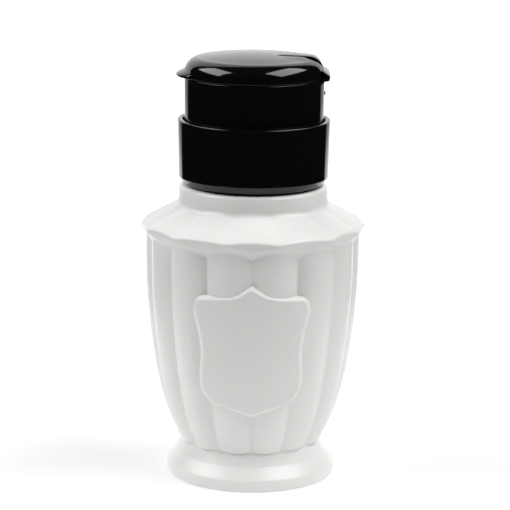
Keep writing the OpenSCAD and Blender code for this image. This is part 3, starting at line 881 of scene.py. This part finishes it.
SLOT_X, SLOT_END = 6.9, 24  # the slots run from the dome past the hinge
SLOT_LOW = LID_Z + 1.4


def tab_reach(turn, radius):
    """How far the thumb tab stands out of the lid's wall, at an angle from -X."""
    offset = -low("lid", 0) - radius
    reach = offset * np.cos(turn) + np.sqrt(radius**2 - (offset * np.sin(turn)) ** 2) - CUP_R
    return (reach + np.sqrt(reach**2 + 0.3**2)) / 2


def on_tab_wall(places):
    """Each point's distance from the axis, and whether it lies in the wall that the tab takes in."""
    out = np.hypot(places[:, 0], places[:, 1])
    return out, (out > CUP_R - TAB_SKIN) & (places[:, 2] < LID_Z + TAB_HIGH + TAB_SKIN)


def pull_out_tab(obj, radius):
    """Cuts the lid's wall finer on the tab's side and pulls it out into the thumb tab."""
    places = vertices(obj)
    _, wall = on_tab_wall(places)
    near = wall & (np.abs(np.arctan2(places[:, 1], -places[:, 0])) < TAB_SPAN)
    select_faces(obj, [bool(near[list(p.vertices)].all()) for p in obj.data.polygons])
    bpy.ops.mesh.subdivide(number_cuts=2)
    bpy.ops.object.mode_set(mode="OBJECT")
    places = vertices(obj)
    out, wall = on_tab_wall(places)
    reach = tab_reach(np.arctan2(places[:, 1], -places[:, 0]), radius)
    u = np.clip((places[:, 2] - LID_Z - TAB_LOW) / (TAB_HIGH - TAB_LOW), 0, 1)
    grown = out + reach * (1 - eased(u))
    places[wall, :2] *= (grown / np.maximum(out, 1))[wall, None]
    move_vertices(obj, places)


def dome_height(r, edge, crown):
    """Height of the lid's dome at a radius."""
    dome_r = CUP_R - edge
    ball = (dome_r**2 + crown**2) / (2 * crown)
    return LID_TOP - ball + np.sqrt(ball**2 - np.minimum(r, dome_r) ** 2)


def lid_section(wall, edge, crown):
    """The lid's outline, from the middle of its dome round its wall to the middle inside."""
    dome_r = CUP_R - edge
    dome_z = LID_TOP - crown
    ring_in, ring_out = 16.8, 18.8
    ring_low = high("lid_seal", 2)
    points = [(r, dome_height(r, edge, crown)) for r in np.linspace(0, dome_r, 13)]
    for a in np.radians(np.arange(85, 0, -5)):
        points.append((dome_r + edge * math.cos(a), dome_z - edge + edge * math.sin(a)))
    points += [(CUP_R, z) for z in np.linspace(dome_z - edge, LID_Z + 0.3, 8)]
    wall_in = CUP_R - wall
    points += outline(
        [(CUP_R, LID_Z + 0.3, 0), (CUP_R, LID_Z, 0.15), (wall_in, LID_Z, 0.2), (wall_in, dome_z - edge, 0)]
    )
    inner = edge - wall
    turn_out = math.acos((ring_out - dome_r) / inner)
    for a in np.linspace(0, turn_out, 6)[1:]:
        points.append((dome_r + inner * math.cos(a), dome_z - edge + inner * math.sin(a)))
    under = dome_z - wall
    points += outline(
        [points[-1] + (0,), (ring_out, ring_low, 0.2), (ring_in, ring_low, 0.2), (ring_in, under, 0.4),
         (12, LID_TOP - wall - 0.7, 4), (0, LID_TOP - wall, 0)]
    )  # fmt: skip
    return points


def raise_beside_strap(obj, edge, crown):
    """Raises the lid's dome beside the strap until it is almost level with the strap's top."""
    places = vertices(obj)
    x, y, z = places.T
    out = np.hypot(x, y)
    dome_r = CUP_R - edge
    arc = LID_TOP - crown - edge + np.sqrt(np.clip(edge**2 - (out - dome_r) ** 2, 0, None))
    skin = np.where(out < dome_r, dome_height(out, edge, crown), arc)
    outside = (np.abs(z - skin) < 0.05) & (out < CUP_R - 0.3)
    top = LID_TOP - np.interp(x, *np.transpose(STRAP_TOP)) - STRAP_STEP
    near = 1 - np.clip((np.abs(y) - STRAP) / STRAP_FADE, 0, 1)
    near *= 1 - np.clip((x - RAISED_TO) / (ROUND_FROM - RAISED_TO), 0, 1)
    lift = np.maximum(top - z, 0) * eased(near)
    places[:, 2] += np.where(outside & (x > 0), lift, 0)
    move_vertices(obj, places)


def strap_and_hinge():
    """The spring strap, the upper leaf of the hinge and the bead that the lid turns on."""
    tip = (high("lid", 0) - 0.05, LID_Z + 1.0)
    root = CUP_R - 0.8
    corners = [(root, LID_Z), (HINGE_X, LID_Z), (HINGE_X + 0.1, HINGE_Z), tip, (root, LID_Z + 2.6)]
    leaf = prism("leaf", corners, -HINGE_HALF, HINGE_HALF, bevel=0.08)
    corners = [(x, LID_TOP - fall) for x, fall in STRAP_TOP] + [tip, (root, LID_Z + 0.4)] + STRAP_UNDER
    strap = prism("strap", corners, -STRAP, STRAP, bevel=0.12)
    corners = around_hinge(BEAD_R, np.linspace(0, TAU, 12, endpoint=False))
    bead = prism("bead", corners, -HINGE_HALF, HINGE_HALF)
    return leaf, strap, bead


class PUMPBOTTLE_OT_lid(bpy.types.Operator):
    """Models the lid with its thumb tab, its spring strap and the upper leaf of its hinge"""

    bl_idname = "pumpbottle.lid"
    bl_label = "Lid"

    def execute(self, context):
        s = context.scene.closure_settings
        edge, crown = s.lid_round / MM, s.lid_crown / MM
        obj = turned("lid_shell", lid_section(s.wall / MM, edge, crown), steps=192)
        pull_out_tab(obj, s.tab_radius / MM)
        raise_beside_strap(obj, edge, crown)
        for side in (-1, 1):
            inner, outer = side * STRAP, side * (STRAP + s.slot / MM)
            corners = [(SLOT_X, inner), (SLOT_X, outer), (SLOT_END, outer), (SLOT_END, inner)]
            cut(obj, upright("slot", corners, SLOT_LOW, LID_TOP + 1))
        obj = joined(obj, *strap_and_hinge())
        finished(obj, "lid", gloss_black_pp(), ["lid"])
        return {"FINISHED"}


# ---------- pieces kept from the construction ----------

KEPT = (
    (natural_pp, ["pump_housing", "pump_cap", "ball_cage", "dip_tube", "valve_plug", "stem", "outlet_grate"]),
    (soft_seal, ["neck_gasket", "stem_seal", "piston", "boss_ring", "lid_seal"]),
    (drawn_steel, ["inlet_ball", "outlet_ball"]),
    (gloss_black_pp, ["dish"]),
)


class PUMPBOTTLE_OT_inner(bpy.types.Operator):
    """Gives the inner pieces of the pump their materials"""

    bl_idname = "pumpbottle.inner"
    bl_label = "Inner pieces"

    def execute(self, context):
        for maker, nodes in KEPT:
            for node in nodes:
                for slot in frame["nodes"][node].material_slots:
                    slot.material = maker()
        return {"FINISHED"}


class PUMPBOTTLE_OT_spring(bpy.types.Operator):
    """Copies the return spring into a steel wire that stands in its place"""

    bl_idname = "pumpbottle.spring"
    bl_label = "Return spring"

    def execute(self, context):
        choose(frame["nodes"]["return_spring"])
        bpy.ops.object.duplicate()
        bpy.ops.object.parent_clear(type="CLEAR_KEEP_TRANSFORM")
        spring = bpy.context.object
        spring.name = spring.data.name = "spring_wire"
        spring.data.materials.clear()
        spring.data.materials.append(drawn_steel())
        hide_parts("return_spring")
        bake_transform(spring)
        return {"FINISHED"}


# ---------- stage ----------

# Corners in metres. The floor is (x, y) from above, the backdrop (x, z) from the front.
FLOOR = [(-0.22, -0.24), (0.22, -0.24), (0.15, 0.18), (1.28, 1.5), (-1.28, 1.5), (-0.15, 0.18)]
BACKDROP = [(-1.7, 0), (-1.7, 2.5), (-1.4, 3.2), (-0.75, 3.2), (0, 2.6), (0.8, 1.7), (1.25, 0.55), (1.28, 0)]
BACKDROP_Y = 1.5
FLOOR_BASE, BACKDROP_BASE = 0.62, 0.0  # whiteness of the papers: the backdrop only glows
FLOOR_GLOW = 0.85
CAMERA_X = 0.0008  # the camera stands this far to the right of the axis
# Changes of the papers' glow: axis, from and to along it in metres, share at the start and at the end
FLOOR_CHANGES = [("X", 0.2, 0.42, 1, 0.13), ("Y", 0.0, 0.3, 0.45, 1)]
BACKDROP_CHANGES = [("Z", 0.0, 0.25, 0.75, 1)]
# Each softbox: a corner, the next corner along its long side, and the corner below the first
LEFT_BOX = ((-0.73, 0.27, 1.12), (-0.52, -0.47, 0.91), (-0.83, 0.39, 0.54))
RIGHT_BOX = ((0.53, 0.40, 1.16), (0.26, -0.56, 0.91), (0.87, 0.335, 0.74))


def softbox(name, corners, radiance):
    """A rectangular area light between three corners, facing the bottle."""
    first, along, below = (Vector(c) for c in corners)
    across, down = along - first, below - first
    centre = (along + below) / 2
    x = across.normalized()
    y = (down - down.dot(x) * x).normalized()
    z = x.cross(y)
    if z.dot(centre) < 0:
        y, z = -y, -z
    light = bpy.data.lights.new(name, "AREA")
    light.shape = "RECTANGLE"
    light.size, light.size_y = across.length, down.length
    light.energy = radiance * math.pi * light.size * light.size_y
    obj = bpy.data.objects.new(name, light)
    bpy.context.collection.objects.link(obj)
    obj.matrix_world = Matrix.Translation(centre) @ Matrix((x, y, z)).transposed().to_4x4()
    obj.visible_camera = False
    return obj


def paper(name, base, glow, changes):
    """Studio paper that glows, more or less along its axes."""
    material, tree, shader, coords = new_material(name)
    shader.inputs["Base Color"].default_value = (base, base, base, 1)
    shader.inputs["Roughness"].default_value = 0.9
    shader.inputs["Emission Color"].default_value = (1, 1, 1, 1)
    parts = add_node(tree, "ShaderNodeSeparateXYZ", None, {"Vector": (coords, "Object")})
    share = None
    for axis, start, end, first, last in changes:
        along, output = parts, axis
        if axis == "X":  # the same on the left and on the right
            along = add_node(tree, "ShaderNodeMath", None, {0: (parts, axis)}, operation="ABSOLUTE")
            output = "Value"
        values = {"From Min": start, "From Max": end, "To Min": first, "To Max": last}
        change = add_node(tree, "ShaderNodeMapRange", values, {"Value": (along, output)})
        if share:
            links = {0: (share, 0), 1: (change, 0)}
            change = add_node(tree, "ShaderNodeMath", None, links, operation="MULTIPLY")
        share = change
    light = add_node(tree, "ShaderNodeMath", {1: glow}, {0: (share, 0)}, operation="MULTIPLY")
    tree.links.new(light.outputs[0], shader.inputs["Emission Strength"])
    return material


def sheet(name, corners, material):
    """A flat sheet of paper in the XZ plane, corners in metres."""
    obj = traced(name, [(x / MM, z / MM) for x, z in corners])
    bpy.ops.object.mode_set(mode="EDIT")
    bpy.ops.mesh.select_all(action="SELECT")
    bpy.ops.mesh.edge_face_add()
    bpy.ops.object.mode_set(mode="OBJECT")
    obj.data.materials.append(material)
    return obj


def dark_room(scene):
    """A world that gives no light, and is white where the camera sees past the paper."""
    world = bpy.data.worlds.new("studio")
    scene.world = world
    world.use_nodes = True
    path = add_node(world.node_tree, "ShaderNodeLightPath")
    back = world.node_tree.nodes["Background"]
    world.node_tree.links.new(path.outputs["Is Camera Ray"], back.inputs["Strength"])
    back.inputs["Color"].default_value = (1, 1, 1, 1)


def main_camera(context, s):
    """The scene's camera, which looks down a little and leans a little."""
    camera = bpy.data.objects.new("camera", bpy.data.cameras.new("camera"))
    context.collection.objects.link(camera)
    camera.data.sensor_width = 36
    camera.data.lens = s.focal
    camera.data.clip_start = 0.01
    tilt = Matrix.Rotation(math.pi / 2 - s.pitch, 4, "X") @ Matrix.Rotation(s.roll, 4, "Z")
    camera.matrix_world = Matrix.Translation((CAMERA_X, -s.distance, s.height)) @ tilt
    context.scene.camera = camera


class PUMPBOTTLE_OT_stage(bpy.types.Operator):
    """Sets the pale floor, the backdrop, the softboxes and the camera"""

    bl_idname = "pumpbottle.stage"
    bl_label = "Stage"

    def execute(self, context):
        s = context.scene.studio_settings
        floor_paper = paper("floor_paper", FLOOR_BASE, FLOOR_GLOW, FLOOR_CHANGES)
        floor = sheet("floor", [(x, -y) for x, y in FLOOR], floor_paper)
        floor.data.transform(Matrix.Rotation(math.pi / 2, 4, "X"))
        backdrop_paper = paper("backdrop_paper", BACKDROP_BASE, s.backdrop, BACKDROP_CHANGES)
        backdrop = sheet("backdrop", BACKDROP, backdrop_paper)
        backdrop.data.transform(Matrix.Translation((0, BACKDROP_Y, 0)))
        softbox("softbox_left", LEFT_BOX, s.softbox)
        softbox("softbox_right", RIGHT_BOX, s.softbox)
        dark_room(context.scene)
        main_camera(context, s)
        context.scene.view_settings.view_transform = "Standard"
        return {"FINISHED"}


class PUMPBOTTLE_PT_panel(bpy.types.Panel):
    """Lists the pieces of the bottle"""

    bl_idname = "PUMPBOTTLE_PT_panel"
    bl_label = "Pump Bottle"
    bl_space_type = "VIEW_3D"
    bl_region_type = "UI"
    bl_category = "Pump Bottle"

    def draw(self, context):
        for operator in OPERATORS:
            self.layout.operator(operator.bl_idname)


OPERATORS = (
    PUMPBOTTLE_OT_bottle,
    PUMPBOTTLE_OT_collar,
    PUMPBOTTLE_OT_cup,
    PUMPBOTTLE_OT_lid,
    PUMPBOTTLE_OT_inner,
    PUMPBOTTLE_OT_spring,
    PUMPBOTTLE_OT_stage,
)
GROUPS = {
    "bottle_settings": BottleSettings,
    "closure_settings": ClosureSettings,
    "studio_settings": StudioSettings,
}


def register():
    for group in GROUPS.values():
        bpy.utils.register_class(group)
    for name, group in GROUPS.items():
        setattr(bpy.types.Scene, name, PointerProperty(type=group))
    for operator in OPERATORS:
        bpy.utils.register_class(operator)
    bpy.utils.register_class(PUMPBOTTLE_PT_panel)


def unregister():
    bpy.utils.unregister_class(PUMPBOTTLE_PT_panel)
    for operator in reversed(OPERATORS):
        bpy.utils.unregister_class(operator)
    for name, group in GROUPS.items():
        delattr(bpy.types.Scene, name)
        bpy.utils.unregister_class(group)


def main():
    register()
    bpy.ops.pumpbottle.bottle()
    bpy.ops.pumpbottle.collar()
    bpy.ops.pumpbottle.cup()
    bpy.ops.pumpbottle.lid()
    bpy.ops.pumpbottle.inner()
    bpy.ops.pumpbottle.spring()
    bpy.ops.pumpbottle.stage()


if __name__ == "__main__":
    main()
